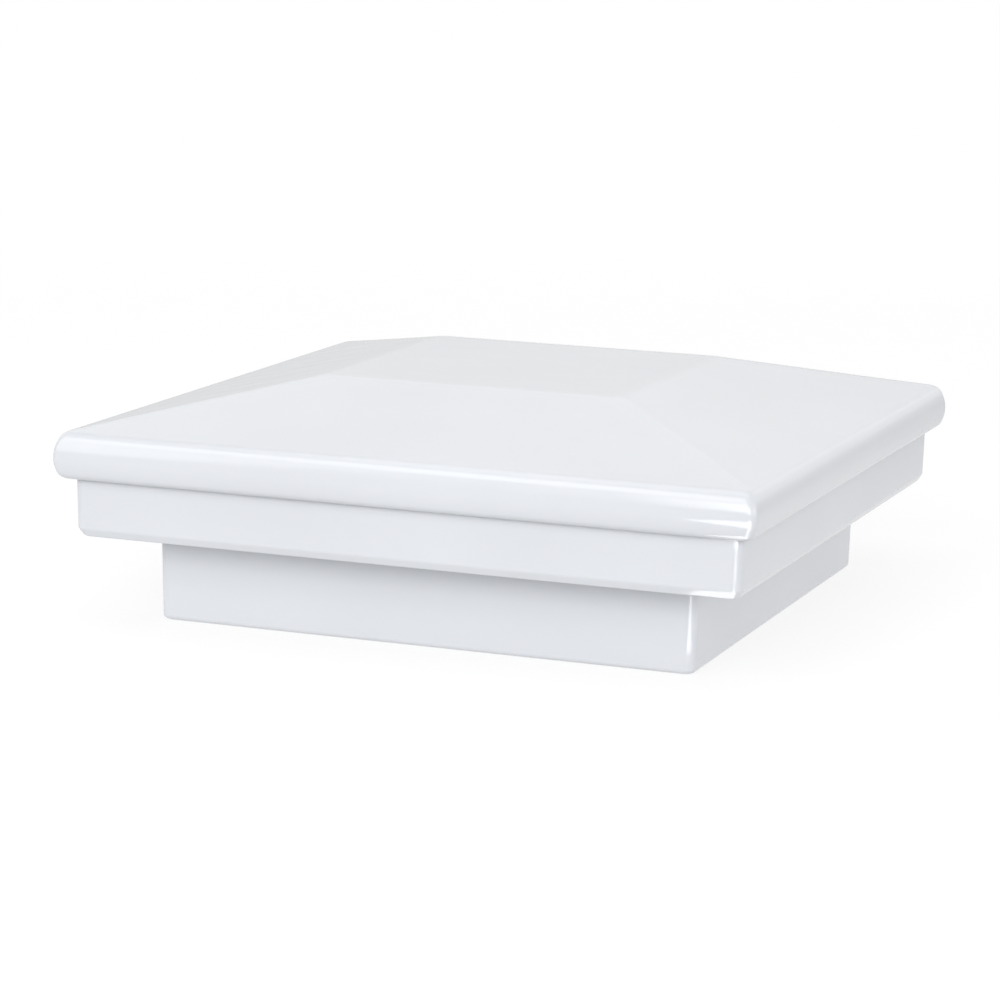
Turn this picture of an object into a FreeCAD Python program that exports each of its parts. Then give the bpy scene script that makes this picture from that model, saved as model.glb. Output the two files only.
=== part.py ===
import FreeCAD, Part
import math
import os
import Sketcher

# A square three-tier cap for a 127 mm (5 inch) fence post.
# The origin is the centre of the seat, where the post's top bears. +Z is up, the front is -Y.
# Tiers from the top: crown, middle band, post collar. The crown lifts straight off the band.

DRIVING_DIMENSIONS = {
    # the post and the socket that slips over it
    "post_width": 127.0,
    "post_gap": 0.4,
    "collar_wall": 3.0,
    "collar_draft": 1.0,
    "collar_depth": 24.0,
    "collar_corner": 2.0,
    "seat_web": 3.0,
    "lead_in": 1.0,
    "foot_round": 0.8,
    # the flange that hangs the collar on the band's bosses
    "flange_base": 6.4,
    "flange_thickness": 2.8,
    "flange_width": 151.0,
    "rib_thickness": 2.0,
    "seat_rib_height": 3.5,
    # the band
    "band_width": 163.5,
    "band_wall": 2.8,
    "band_draft": 1.0,
    "band_floor": 2.8,
    "band_drop": 2.4,
    "band_top": 14.0,
    "band_corner": 2.2,
    "band_foot_round": 2.0,
    "slip_gap": 0.2,
    # the crown
    "crown_width": 171.5,
    "rim_base": 11.5,
    "rim_equator": 16.6,
    "rim_barrel": 10.0,
    "upper_edge": 2.6,
    "lower_edge": 2.4,
    "crown_top": 33.1,
    "plateau_width": 75.8,
    "hip_slope": 13.0,
    "crown_corner": 1.9,
    "shell": 3.0,
    "skirt_wall": 2.0,
    "skirt_foot": 2.4,
    "channel_top": 19.5,
    "lip_gap": 0.25,
    "crown_rib_foot": 18.5,
    "gasket_gap": 0.1,
    # the grip pads in the collar's walls
    "pad_length": 40.0,
    "pad_height": 14.0,
    "pad_centre": 12.0,
    "pad_pocket": 0.8,
    "pad_proud": 0.3,
    "pad_gap": 0.1,
    "pad_groove": 1.6,
    # the screws, their bosses and holes
    "screw_offset": 71.9,
    "head_width": 6.5,
    "head_height": 2.2,
    "thread_width": 3.5,
    "core_width": 2.6,
    "screw_length": 9.5,
    "thread_pitch": 1.3,
    "drive_length": 3.8,
    "drive_slot": 0.9,
    "drive_depth": 1.3,
    "clearance_hole": 4.0,
    "pilot_hole": 2.9,
    "pilot_depth": 7.8,
    "boss_width": 8.0,
    # the spring clips
    "clip_width": 24.0,
    "clip_strip": 0.5,
    "clip_heel": 68.6,
    "clip_bow": 76.65,
    "clip_leg": 76.1,
    "clip_bow_height": 13.5,
    "clip_top": 17.5,
    "clip_gap": 0.2,
}

# Sizes worked out from the driving dimensions, as expressions for the features.
BORE = "(dims.post_width + 2 * dims.post_gap)"
COLLAR = f"({BORE} + 2 * dims.collar_wall)"
FLANGE_TOP = "(dims.flange_base + dims.flange_thickness)"
BAND_OPENING = f"({COLLAR} + 2 * dims.slip_gap)"
BAND_INSIDE = "(dims.band_width - 2 * dims.band_wall)"
SKIRT = f"({BAND_INSIDE} - 2 * dims.slip_gap)"
SKIRT_INSIDE = f"({SKIRT} - 2 * dims.skirt_wall)"
CHANNEL = "(dims.band_width + 2 * dims.lip_gap)"
COLLAR_TOP = f"({COLLAR} + 2 * ({FLANGE_TOP} + dims.band_drop) * tan(dims.collar_draft * 1 deg))"
HIP_RISE = "tan(dims.hip_slope * 1 deg)"
EAVE = f"(dims.crown_top - (dims.crown_width - dims.plateau_width) / 2 * {HIP_RISE})"
CAVITY_TOP = "(dims.crown_top - dims.shell)"
CAVITY_EAVE = f"({EAVE} - dims.shell + (dims.crown_width - {SKIRT_INSIDE}) / 2 * {HIP_RISE})"

ORIGIN = -1
VERTICAL_AXIS = -2
START, END, CENTRE = 1, 2, 3
QUARTER = math.pi / 2

# The side pieces are drawn on the +X side and turned about Z to the side that names them.
SIDES = {"right": 0, "back": 90, "left": 180, "front": -90}

doc = FreeCAD.newDocument("fence_post_cap")


def make_sheet():
    sheet = doc.addObject("Spreadsheet::Sheet", "dims")
    for row, (alias, value) in enumerate(DRIVING_DIMENSIONS.items(), start=1):
        sheet.set(f"A{row}", alias)
        sheet.set(f"B{row}", str(value))
        sheet.setAlias(f"B{row}", alias)
    doc.recompute()


def vector(x, y, z=0.0):
    return FreeCAD.Vector(x, y, z)


def new_body(label):
    body = doc.addObject("PartDesign::Body", label)
    body.Label = label
    return body


def origin_feature(body, role):
    return next(item for item in body.Origin.OriginFeatures if item.Role == role)


def new_sketch(body, name, plane="XY_Plane", height=None):
    sketch = body.newObject("Sketcher::SketchObject", name)
    sketch.AttachmentSupport = [(origin_feature(body, plane), "")]
    sketch.MapMode = "FlatFace"
    if height is not None:
        sketch.setExpression("AttachmentOffset.Base.z", height)
    return sketch


def drive(sketch, expression, *constraint):
    """Add a dimension constraint whose value follows an expression."""
    index = sketch.addConstraint(Sketcher.Constraint(*constraint))
    sketch.setExpression(f"Constraints[{index}]", expression)


def value(expression):
    """The present value of an expression of the sheet's dimensions, in millimetres."""
    result = doc.dims.evalExpression(expression.replace("dims.", ""))
    return float(getattr(result, "Value", result))


def add_outline(sketch, corners):
    """Add a closed outline of straight lines whose corners follow pairs of expressions."""
    first = sketch.GeometryCount
    places = [vector(value(across), value(up)) for across, up in corners]
    for here, there in zip(places, places[1:] + places[:1]):
        sketch.addGeometry(Part.LineSegment(here, there), False)
    for index, (across, up) in enumerate(corners):
        line = first + index
        following = first + (index + 1) % len(corners)
        sketch.addConstraint(Sketcher.Constraint("Coincident", line, END, following, START))
        drive(sketch, across, "DistanceX", ORIGIN, START, line, START, places[index].x)
        drive(sketch, up, "DistanceY", ORIGIN, START, line, START, places[index].y)


def add_rectangle(sketch, width, height, centre_x="0", centre_y="0"):
    """Add an upright rectangle whose size and centre follow expressions."""
    left = f"{centre_x} - {width} / 2"
    right = f"{centre_x} + {width} / 2"
    low = f"{centre_y} - {height} / 2"
    high = f"{centre_y} + {height} / 2"
    add_outline(sketch, [(left, low), (right, low), (right, high), (left, high)])


def add_square(sketch, width):
    add_rectangle(sketch, width, width)


def add_circle(sketch, diameter, centre_x, centre_y):
    centre = vector(value(centre_x), value(centre_y))
    circle = Part.Circle(centre, vector(0, 0, 1), value(diameter) / 2)
    index = sketch.addGeometry(circle, False)
    drive(sketch, diameter, "Diameter", index, 2 * circle.Radius)
    drive(sketch, centre_x, "DistanceX", ORIGIN, START, index, CENTRE, centre.x)
    drive(sketch, centre_y, "DistanceY", ORIGIN, START, index, CENTRE, centre.y)


def pad(body, sketch, length, name, midplane=False):
    feature = body.newObject("PartDesign::Pad", name)
    feature.Profile = sketch
    feature.SideType = "Symmetric" if midplane else "One side"
    feature.setExpression("Length", length)
    return settle(body, feature)


def drafted_block(body, width, top, length, draft, name):
    """Pad a square downwards from its top, drawn in by the moulding draft towards its foot."""
    outline = new_sketch(body, f"{name}_outline", height=top)
    add_square(outline, width)
    block = pad(body, outline, length, name)
    block.Reversed = True
    block.setExpression("TaperAngle", f"-{draft} * 1 deg")
    settle(body, block)
    box = body.Shape.BoundBox
    require(abs(box.ZMax - value(top)) < 0.01, f"{name} points the wrong way")
    require(abs(box.XLength - value(width)) < 0.01, f"{name} widens towards its foot")


def pocket(body, sketch, length, name, upwards=True, midplane=False):
    """Cut a sketch into the body. A pocket looks below its sketch unless it is reversed."""
    before = body.Shape.Volume
    feature = body.newObject("PartDesign::Pocket", name)
    feature.Profile = sketch
    feature.SideType = "Symmetric" if midplane else "One side"
    feature.Reversed = upwards and not midplane
    feature.setExpression("Length", length)
    settle(body, feature)
    require(body.Shape.Volume < before - 0.01, f"{name} cuts nothing")
    return feature


def four_sides(body, feature, name):
    """Repeat a feature on the four sides of the square."""
    pattern = body.newObject("PartDesign::PolarPattern", name)
    pattern.Originals = [feature]
    pattern.Axis = (origin_feature(body, "Z_Axis"), [""])
    pattern.Angle = 360
    pattern.Occurrences = len(SIDES)
    return settle(body, pattern)


def settle(body, feature):
    body.Tip = feature
    doc.recompute()
    require(not feature.Shape.isNull(), f"{feature.Label} is empty")
    return feature


def require(condition, message):
    if not condition:
        raise RuntimeError(message)


def edge_names(shape, wanted):
    return [f"Edge{index}" for index, edge in enumerate(shape.Edges, start=1) if wanted(edge)]


def round_edges(body, wanted, radius, name, kind="Fillet"):
    """Fillet or chamfer the edges of the body's last feature that pass a test."""
    base = body.Tip
    names = edge_names(base.Shape, wanted)
    require(names, f"{name} finds no edges")
    feature = body.newObject(f"PartDesign::{kind}", name)
    feature.Base = (base, names)
    feature.setExpression("Radius" if kind == "Fillet" else "Size", radius)
    return settle(body, feature)


def is_corner_post(width):
    """A test for the upright edges at the corners of a square whose upper end is this wide."""
    half = width / 2

    def test(edge):
        box = edge.BoundBox
        top = max((vertex.Point for vertex in edge.Vertexes), key=lambda point: point.z)
        upright = box.ZLength > 10 * max(box.XLength, box.YLength)
        return upright and abs(abs(top.x) - half) < 0.01 and abs(abs(top.y) - half) < 0.01

    return test


def is_outline(level, inside, outside):
    """A test for level edges at one height whose reach lies between two half-widths."""

    def test(edge):
        box = edge.BoundBox
        reach = max(abs(box.XMin), abs(box.XMax), abs(box.YMin), abs(box.YMax))
        return box.ZLength < 0.01 and abs(box.ZMin - level) < 0.01 and inside < reach < outside

    return test


def make_post_collar():
    """The square socket for the post, closed by the seat web, with the flange it hangs from."""
    body = new_body("post_collar")
    drafted_block(body, COLLAR_TOP, FLANGE_TOP, f"dims.collar_depth + {FLANGE_TOP}",
                  "dims.collar_draft", "collar_block")
    round_edges(body, is_corner_post(value(COLLAR_TOP)), "dims.collar_corner", "collar_corners")
    flange = new_sketch(body, "flange_outline", height="dims.flange_base")
    add_square(flange, "dims.flange_width")
    pad(body, flange, "dims.flange_thickness", "flange")
    round_edges(body, is_corner_post(value("dims.flange_width")), "dims.collar_corner",
                "flange_corners")
    socket = new_sketch(body, "socket_outline", height="-dims.collar_depth")
    add_square(socket, BORE)
    pocket(body, socket, "dims.collar_depth", "socket")
    tray = new_sketch(body, "tray_outline", height="dims.seat_web")
    add_square(tray, BORE)
    pocket(body, tray, f"{FLANGE_TOP} - dims.seat_web", "tray")
    rib_spans = {"seat_rib_across": (BORE, "dims.rib_thickness"),
                 "seat_rib_along": ("dims.rib_thickness", BORE)}
    for name, (width, depth) in rib_spans.items():
        rib = new_sketch(body, f"{name}_outline", height="dims.seat_web")
        add_rectangle(rib, width, depth)
        pad(body, rib, "dims.seat_rib_height", name)
    foot = -value("dims.collar_depth")
    wall_middle = (value(BORE) + value("dims.collar_wall")) / 2
    round_edges(body, is_outline(foot, 0, wall_middle), "dims.lead_in", "socket_lead_in", "Chamfer")
    round_edges(body, is_outline(foot, wall_middle, math.inf), "dims.foot_round", "collar_foot")
    pad_seat = new_sketch(body, "pad_seat_outline", height="-dims.pad_centre - dims.pad_height / 2")
    add_rectangle(pad_seat, "2 * dims.pad_pocket", "dims.pad_length", f"{BORE} / 2")
    seat = pocket(body, pad_seat, "dims.pad_height", "pad_seat")
    four_sides(body, seat, "pad_seats")
    clip_seat = new_sketch(body, "clip_seat_outline", height=f"{FLANGE_TOP} - dims.clip_strip")
    # the seat is open at the flange's edge, where the clip's leg turns up
    inner = "(dims.clip_heel - dims.clip_gap)"
    outer = "(dims.clip_leg + dims.clip_gap)"
    add_rectangle(clip_seat, f"({outer} - {inner})", "(dims.clip_width + 2 * dims.clip_gap)",
                  f"({outer} + {inner}) / 2")
    seat = pocket(body, clip_seat, "dims.clip_strip", "clip_seat")
    four_sides(body, seat, "clip_seats")
    holes = new_sketch(body, "screw_holes_outline", height="dims.flange_base")
    add_screw_circles(holes, "dims.clearance_hole")
    hole = pocket(body, holes, "dims.flange_thickness", "screw_hole_pair")
    four_sides(body, hole, "screw_holes")
    return body


def add_screw_circles(sketch, diameter):
    """One screw at the middle of a side and one at a corner, for a pattern of four."""
    add_circle(sketch, diameter, "dims.screw_offset", "0")
    add_circle(sketch, diameter, "dims.screw_offset", "dims.screw_offset")


def make_middle_band():
    """The tray-shaped middle tier, with the bosses that the collar's flange is screwed to."""
    body = new_body("middle_band")
    drafted_block(body, "dims.band_width", "dims.band_top", "dims.band_drop + dims.band_top",
                  "dims.band_draft", "band_block")
    round_edges(body, is_corner_post(value("dims.band_width")), "dims.band_corner", "band_corners")
    floor_top = "(dims.band_floor - dims.band_drop)"
    inside = new_sketch(body, "band_inside_outline", height=floor_top)
    add_square(inside, BAND_INSIDE)
    pocket(body, inside, f"dims.band_top - {floor_top}", "band_inside")
    opening = new_sketch(body, "collar_opening_outline", height="-dims.band_drop")
    add_square(opening, BAND_OPENING)
    pocket(body, opening, "dims.band_floor", "collar_opening")
    round_edges(body, is_corner_post(value(BAND_OPENING)), "dims.collar_corner", "opening_corners")
    foot = -value("dims.band_drop")
    opening = value(BAND_OPENING) / 2
    round_edges(body, is_outline(foot, opening + 1, math.inf), "dims.band_foot_round", "band_foot")
    bosses = new_sketch(body, "bosses_outline", height=floor_top)
    add_screw_circles(bosses, "dims.boss_width")
    boss = pad(body, bosses, f"dims.flange_base - {floor_top}", "boss_pair")
    four_sides(body, boss, "bosses")
    pilots = new_sketch(body, "pilots_outline", height="dims.flange_base")
    add_screw_circles(pilots, "dims.pilot_hole")
    pilot = pocket(body, pilots, "dims.pilot_depth", "pilot_pair", upwards=False)
    four_sides(body, pilot, "pilots")
    return body


def add_crown_profile(sketch):
    """Draw the crown's side view: underside, barrel-faced rim with rounded edges, slopes, plateau."""
    half = value("dims.crown_width") / 2
    flat = value("dims.plateau_width") / 2
    base = value("dims.rim_base")
    top = value("dims.crown_top")
    equator = value("dims.rim_equator")
    barrel = value("dims.rim_barrel")
    upper = value("dims.upper_edge")
    lower = value("dims.lower_edge")
    slope = math.radians(value("dims.hip_slope"))
    # the two edge arcs lie inside the barrel's circle and touch it at these angles above level
    hub = half - barrel
    to_slope = (hub - flat) * math.sin(slope) + (equator - top) * math.cos(slope)
    high = math.asin((-upper - to_slope) / (barrel - upper)) - slope
    low = math.asin((base + lower - equator) / (barrel - lower))
    upper_x = hub + (barrel - upper) * math.cos(high)
    upper_y = equator + (barrel - upper) * math.sin(high)
    lower_x = hub + (barrel - lower) * math.cos(low)
    shoulder = vector(upper_x + upper * math.sin(slope), upper_y + upper * math.cos(slope))
    first = sketch.GeometryCount

    def line(x_from, y_from, x_to, y_to):
        sketch.addGeometry(Part.LineSegment(vector(x_from, y_from), vector(x_to, y_to)), False)

    def arc(x, y, radius, start, end):
        circle = Part.Circle(vector(x, y), vector(0, 0, 1), radius)
        sketch.addGeometry(Part.ArcOfCircle(circle, start, end), False)

    line(-lower_x, base, lower_x, base)
    arc(lower_x, base + lower, lower, -QUARTER, low)
    arc(hub, equator, barrel, low, high)
    arc(upper_x, upper_y, upper, high, QUARTER - slope)
    line(shoulder.x, shoulder.y, flat, top)
    line(flat, top, -flat, top)
    line(-flat, top, -shoulder.x, shoulder.y)
    arc(-upper_x, upper_y, upper, QUARTER + slope, 2 * QUARTER - high)
    arc(-hub, equator, barrel, 2 * QUARTER - high, 2 * QUARTER - low)
    arc(-lower_x, base + lower, lower, 2 * QUARTER - low, 3 * QUARTER)
    floor, right_slope, plateau, left_slope = (first + side for side in (0, 4, 5, 6))
    # a line meets an arc, and an arc meets an arc, end to start in the order drawn
    for here in (0, 1, 2, 3, 6, 7, 8, 9):
        following = first + (here + 1) % 10
        sketch.addConstraint(Sketcher.Constraint("Tangent", first + here, END, following, START))
    sketch.addConstraint(Sketcher.Constraint("Coincident", right_slope, END, plateau, START))
    sketch.addConstraint(Sketcher.Constraint("Coincident", plateau, END, left_slope, START))
    for level in (floor, plateau):
        sketch.addConstraint(
            Sketcher.Constraint("Symmetric", level, START, level, END, VERTICAL_AXIS))
    drive(sketch, "dims.plateau_width", "DistanceX", plateau, END, plateau, START, 2 * flat)
    drive(sketch, "dims.rim_base", "DistanceY", ORIGIN, START, floor, START, base)
    drive(sketch, "dims.crown_top", "DistanceY", ORIGIN, START, plateau, START, top)
    drive(sketch, "180 deg - dims.hip_slope * 1 deg", "Angle", right_slope, math.pi - slope)
    drive(sketch, "180 deg + dims.hip_slope * 1 deg", "Angle", left_slope, math.pi + slope)
    for side, sign in ((1, 1), (9, -1)):
        drive(sketch, "dims.lower_edge", "Radius", first + side, lower)
        drive(sketch, "dims.upper_edge", "Radius", first + (side + 2 * sign), upper)
        centre = first + side + sign
        drive(sketch, "dims.rim_barrel", "Radius", centre, barrel)
        drive(sketch, f"{sign} * (dims.crown_width / 2 - dims.rim_barrel)", "DistanceX",
              ORIGIN, START, centre, CENTRE, sign * hub)
    drive(sketch, "dims.rim_equator", "DistanceY", ORIGIN, START, first + 2, CENTRE, equator)


def make_crown():
    """The top moulding. Two identical side profiles at right angles give the mitred rim and hips."""
    body = new_body("crown")
    front_profile = new_sketch(body, "front_profile", "XZ_Plane")
    add_crown_profile(front_profile)
    pad(body, front_profile, "dims.crown_width", "crown_block", midplane=True)
    side_profile = new_sketch(body, "side_profile", "YZ_Plane")
    add_crown_profile(side_profile)
    add_rectangle(side_profile, "2 * dims.crown_width", "2 * dims.crown_width")
    pocket(body, side_profile, "2 * dims.crown_width", "side_trim", midplane=True)
    round_edges(body, is_mitre, "dims.crown_corner", "mitre_softening")
    cavity = new_sketch(body, "cavity_outline", height="dims.rim_base")
    add_square(cavity, SKIRT_INSIDE)
    pocket(body, cavity, f"{CAVITY_EAVE} - dims.rim_base", "cavity")
    eave = new_sketch(body, "cavity_eave", height=CAVITY_EAVE)
    add_square(eave, SKIRT_INSIDE)
    ridge = new_sketch(body, "cavity_ridge", height=CAVITY_TOP)
    add_square(ridge, "dims.plateau_width")
    add_cavity_roof(body, eave, ridge)
    channel = new_sketch(body, "channel_outline", height="dims.rim_base")
    add_square(channel, CHANNEL)
    add_square(channel, SKIRT)
    pocket(body, channel, "dims.channel_top - dims.rim_base", "channel")
    skirt = new_sketch(body, "skirt_outline", height="dims.skirt_foot")
    add_square(skirt, SKIRT)
    add_square(skirt, SKIRT_INSIDE)
    pad(body, skirt, "dims.rim_base - dims.skirt_foot", "skirt")
    for name, plane in (("rib_across", "XZ_Plane"), ("rib_along", "YZ_Plane")):
        rib = new_sketch(body, f"{name}_outline", plane)
        add_rib_outline(rib)
        pad(body, rib, "dims.rib_thickness", name, midplane=True)
    return body


def is_mitre(edge):
    """The edges where the front and side profiles meet lie on a diagonal of the square."""
    diagonal = all(abs(abs(vertex.X) - abs(vertex.Y)) < 0.01 for vertex in edge.Vertexes)
    middle = edge.valueAt((edge.FirstParameter + edge.LastParameter) / 2)
    on_diagonal = abs(abs(middle.x) - abs(middle.y)) < 0.01
    return diagonal and on_diagonal


def add_cavity_roof(body, eave, ridge):
    """Cut the hipped roof of the cavity, which keeps the shell at one thickness."""
    before = body.Shape.Volume
    roof = body.newObject("PartDesign::SubtractiveLoft", "cavity_roof")
    roof.Profile = eave
    roof.Sections = [ridge]
    roof.Ruled = True
    settle(body, roof)
    require(body.Shape.Volume < before, "the cavity's roof cuts nothing")


def add_rib_outline(sketch):
    """Draw a rib under the roof: level at its foot, with its upper edge grown into the shell."""
    end = f"({SKIRT_INSIDE} / 2 + dims.skirt_wall / 2)"
    flat = "dims.plateau_width / 2"
    foot = "dims.crown_rib_foot"
    eave = f"{CAVITY_EAVE} + dims.shell / 2"
    roof = f"{CAVITY_TOP} + dims.shell / 2"
    add_outline(sketch, [(f"-{end}", foot), (end, foot), (end, eave), (flat, roof),
                         (f"-{flat}", roof), (f"-{end}", eave)])


def make_crown_gasket():
    """The foam ring in the crown's channel, which rests on the top edge of the band."""
    body = new_body("crown_gasket")
    outline = new_sketch(body, "gasket_outline", height="dims.band_top")
    add_square(outline, f"({CHANNEL} - 2 * dims.gasket_gap)")
    add_square(outline, f"({SKIRT} + 2 * dims.gasket_gap)")
    pad(body, outline, "dims.channel_top - dims.band_top", "gasket_ring")
    return body


def make_grip_pad(side, angle):
    """A rubber pad with two grooves, set in the collar's wall and slightly proud of it."""
    body = new_body(f"grip_pad_{side}")
    thickness = "(dims.pad_pocket + dims.pad_proud)"
    centre = f"({BORE} / 2 + dims.pad_pocket - {thickness} / 2)"
    outline = new_sketch(body, f"pad_outline_{side}",
                         height="-dims.pad_centre - dims.pad_height / 2 + dims.pad_gap")
    add_rectangle(outline, thickness, "(dims.pad_length - 2 * dims.pad_gap)", centre)
    pad(body, outline, "dims.pad_height - 2 * dims.pad_gap", f"pad_block_{side}")
    grooves = new_sketch(body, f"grooves_outline_{side}", "XZ_Plane")
    for direction in (-1, 1):
        level = f"(-dims.pad_centre + {direction} * dims.pad_height / 6)"
        add_rectangle(grooves, "dims.pad_proud", "dims.pad_groove",
                      f"({centre} - {thickness} / 2 + dims.pad_proud / 2)", level)
    pocket(body, grooves, "2 * dims.pad_length", f"grooves_{side}", midplane=True)
    body.Placement = turned(angle)
    return body


def make_crown_clip(side, angle):
    """A bent spring strip: its foot lies in the flange, its bowed leg bears on the skirt."""
    body = new_body(f"crown_clip_{side}")
    profile = new_sketch(body, f"strip_profile_{side}", "XZ_Plane")
    seat = f"({FLANGE_TOP} - dims.clip_strip)"
    inner_leg = "dims.clip_leg - dims.clip_strip"
    inner_bow = "dims.clip_bow - dims.clip_strip"
    add_outline(profile, [("dims.clip_heel", seat), ("dims.clip_leg", seat),
                          ("dims.clip_bow", "dims.clip_bow_height"),
                          ("dims.clip_leg", "dims.clip_top"), (inner_leg, "dims.clip_top"),
                          (inner_bow, "dims.clip_bow_height"), (inner_leg, FLANGE_TOP),
                          ("dims.clip_heel", FLANGE_TOP)])
    pad(body, profile, "dims.clip_width", f"strip_{side}", midplane=True)
    hole = new_sketch(body, f"clip_hole_outline_{side}", height=f"{FLANGE_TOP} - dims.clip_strip")
    add_circle(hole, "dims.clearance_hole", "dims.screw_offset", "0")
    pocket(body, hole, "dims.clip_strip", f"clip_hole_{side}")
    body.Placement = turned(angle)
    return body


def make_screw():
    """A pan-head screw for plastic, upright, with the underside of its head at z = 0."""
    body = new_body("screw")
    profile = new_sketch(body, "screw_profile", "XZ_Plane")
    head = "dims.head_width / 2"
    core = "dims.core_width / 2"
    thread = "dims.thread_width / 2"
    # a pan head is domed: two short facets fall from its flat top to its upright edge
    corners = [("0", "dims.head_height"), (f"0.55 * {head}", "dims.head_height"),
               (f"0.85 * {head}", "0.8 * dims.head_height"), (head, "0.4 * dims.head_height"),
               (head, "0"), (core, "0")]
    turns = int(value("dims.screw_length / dims.thread_pitch")) - 1
    for turn in range(1, turns + 1):
        crest = f"-{turn} * dims.thread_pitch"
        corners.append((core, f"{crest} + dims.thread_pitch / 3"))
        corners.append((thread, crest))
        corners.append((core, f"{crest} - dims.thread_pitch / 3"))
    corners.append((core, f"{core} - dims.screw_length"))
    corners.append(("0", "-dims.screw_length"))
    add_outline(profile, corners)
    revolution = body.newObject("PartDesign::Revolution", "screw_turning")
    revolution.Profile = profile
    revolution.ReferenceAxis = (profile, ["V_Axis"])
    revolution.Angle = 360
    settle(body, revolution)
    slots = {"recess_across": ("dims.drive_length", "dims.drive_slot"),
             "recess_along": ("dims.drive_slot", "dims.drive_length")}
    for name, (width, depth) in slots.items():
        slot = new_sketch(body, f"{name}_outline", height="dims.head_height")
        add_rectangle(slot, width, depth)
        pocket(body, slot, "dims.drive_depth", name, upwards=False)
    return body


def make_collar_screws():
    """Eight of the same screw: one at the middle of each side and one at each corner."""
    screw = make_screw()
    links = []
    for side, angle in SIDES.items():
        for place, sideways in (("middle", 0), ("corner", 1)):
            link = doc.addObject("App::Link", f"screw_{side}_{place}")
            link.LinkedObject = screw
            offset = value("dims.screw_offset")
            spot = turned(angle).multVec(vector(offset, sideways * offset, value(FLANGE_TOP)))
            link.Placement = FreeCAD.Placement(spot, turned(angle).Rotation)
            links.append(link)
    group = doc.addObject("Part::Compound", "collar_screws")
    group.Label = "collar_screws"
    group.Links = links
    doc.recompute()
    return group


def turned(angle):
    """A turn about the vertical axis of the cap."""
    return FreeCAD.Placement(vector(0, 0), FreeCAD.Rotation(vector(0, 0, 1), angle))


def check(parts):
    doc.recompute()
    for item in doc.Objects:
        bad = {"Invalid", "Error"} & set(item.State)
        require(not bad, f"{item.Label} is {item.State}")
    for part in parts:
        require(not part.Shape.isNull(), f"{part.Label} is empty")
        require(part.Shape.isValid(), f"{part.Label} is not valid")


def main():
    make_sheet()
    parts = [make_crown(), make_crown_gasket(), make_middle_band(), make_post_collar(),
             make_collar_screws()]
    for side, angle in SIDES.items():
        parts.append(make_grip_pad(side, angle))
        parts.append(make_crown_clip(side, angle))
    check(parts)
    os.makedirs("parts", exist_ok=True)
    for part in parts:
        part.Shape.exportStep(f"parts/{part.Label}.step")


main()
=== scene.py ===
import math
from collections import namedtuple

import bmesh
import bpy
from mathutils import Matrix, Vector, noise


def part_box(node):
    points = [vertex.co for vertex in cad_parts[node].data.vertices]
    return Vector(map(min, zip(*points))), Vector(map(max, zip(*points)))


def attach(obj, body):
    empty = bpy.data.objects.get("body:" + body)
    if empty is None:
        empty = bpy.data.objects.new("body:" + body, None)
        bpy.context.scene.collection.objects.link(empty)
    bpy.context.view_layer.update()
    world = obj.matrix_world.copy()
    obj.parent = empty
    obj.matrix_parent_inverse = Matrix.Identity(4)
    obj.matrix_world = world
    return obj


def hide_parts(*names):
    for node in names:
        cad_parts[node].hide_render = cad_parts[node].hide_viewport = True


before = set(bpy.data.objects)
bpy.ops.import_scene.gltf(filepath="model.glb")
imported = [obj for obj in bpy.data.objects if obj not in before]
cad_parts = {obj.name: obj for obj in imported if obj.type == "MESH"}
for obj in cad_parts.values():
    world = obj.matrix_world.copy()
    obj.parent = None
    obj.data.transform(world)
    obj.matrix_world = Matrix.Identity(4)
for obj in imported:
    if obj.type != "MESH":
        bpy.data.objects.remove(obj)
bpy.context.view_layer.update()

# The looks of a square three-tier fence post cap. +Z is up and the front is -Y.
# Every size is in metres. MM turns a size in millimetres into metres.
MM = 0.001

# Half-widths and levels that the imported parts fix.
crown_low, crown_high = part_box("crown")
band_low, band_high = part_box("middle_band")
collar_low, collar_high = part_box("post_collar")
gasket_low, gasket_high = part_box("crown_gasket")
screws_low, screws_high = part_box("collar_screws")
clip_low, clip_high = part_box("crown_clip_right")
pad_low, pad_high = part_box("grip_pad_right")

# Sizes that the boxes don't show. HALF is the distance from the axis to a side. The rim's
# face is an arc of radius RIM_BARREL, whose middle is on the level RIM_EQUATOR.
RIM_BASE = 11.5 * MM
RIM_EQUATOR = 16.6 * MM
RIM_BARREL = 10.0 * MM
UPPER_EDGE = 2.6 * MM
LOWER_EDGE = 2.4 * MM
PLATEAU_HALF = 37.9 * MM
HIP_SLOPE = math.radians(13.0)
SHELL = 3.0 * MM
CHANNEL_HALF = 82.0 * MM
SKIRT_HALF = 78.75 * MM
SKIRT_WALL = 2.0 * MM
CROWN_RIB_FOOT = 18.5 * MM
DRAFT = math.radians(1.0)
BAND_WALL = 2.8 * MM
BAND_FLOOR = 2.8 * MM
OPENING_HALF = 67.1 * MM
COLLAR_HALF = 66.9 * MM
BORE_HALF = 63.9 * MM
FLANGE_THICKNESS = 2.8 * MM
SEAT_WEB = 3.0 * MM
SEAT_RIB_HEIGHT = 3.5 * MM
RIB_THICKNESS = 2.0 * MM
LEAD_IN = 1.0 * MM
BOSS_RADIUS = 4.0 * MM
PILOT_RADIUS = 1.45 * MM
PILOT_DEPTH = 7.8 * MM
CLEARANCE_RADIUS = 2.0 * MM
PAD_POCKET = 0.8 * MM
PAD_GROOVE = 1.6 * MM
FIT_GAP = 0.1 * MM
HEAD_RADIUS = 3.25 * MM
THREAD_RADIUS = 1.75 * MM
CORE_RADIUS = 1.3 * MM
THREAD_PITCH = 1.3 * MM
STRIP = 0.5 * MM
CLIP_BOW = 0.55 * MM
CLIP_BOW_LEVEL = 13.5 * MM

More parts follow.
